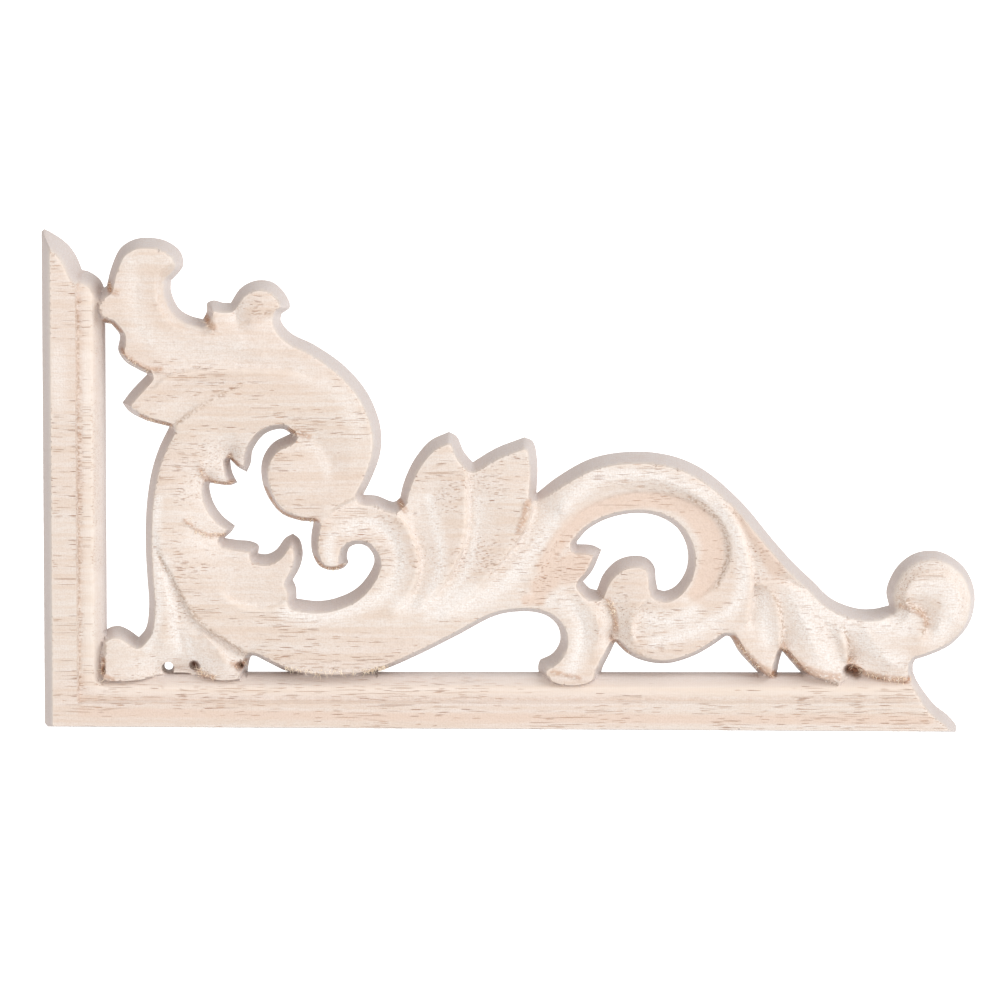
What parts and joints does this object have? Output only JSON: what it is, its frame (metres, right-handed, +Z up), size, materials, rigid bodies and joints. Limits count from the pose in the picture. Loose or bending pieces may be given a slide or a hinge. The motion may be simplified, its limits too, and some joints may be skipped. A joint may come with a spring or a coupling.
{
  "type": "carved corner onlay",
  "caption": "Wooden corner onlay: an L-shaped moulding carrying pierced acanthus scrollwork that tapers along the long side to a ball.",
  "frame": {"origin": "on the flat back, in the corner block where the two mouldings cross", "axes": "+X along the long moulding towards the ball, +Z up the short moulding, +Y out of the flat back; the carving faces -Y"},
  "size_m": [0.1865, 0.0087, 0.101],
  "materials": {
    "corner_onlay": "bare pale hardwood, machine carved and left unfinished"
  },
  "bodies": {
    "root": {"corner_onlay": "corner_onlay"}
  },
  "joints": []
}
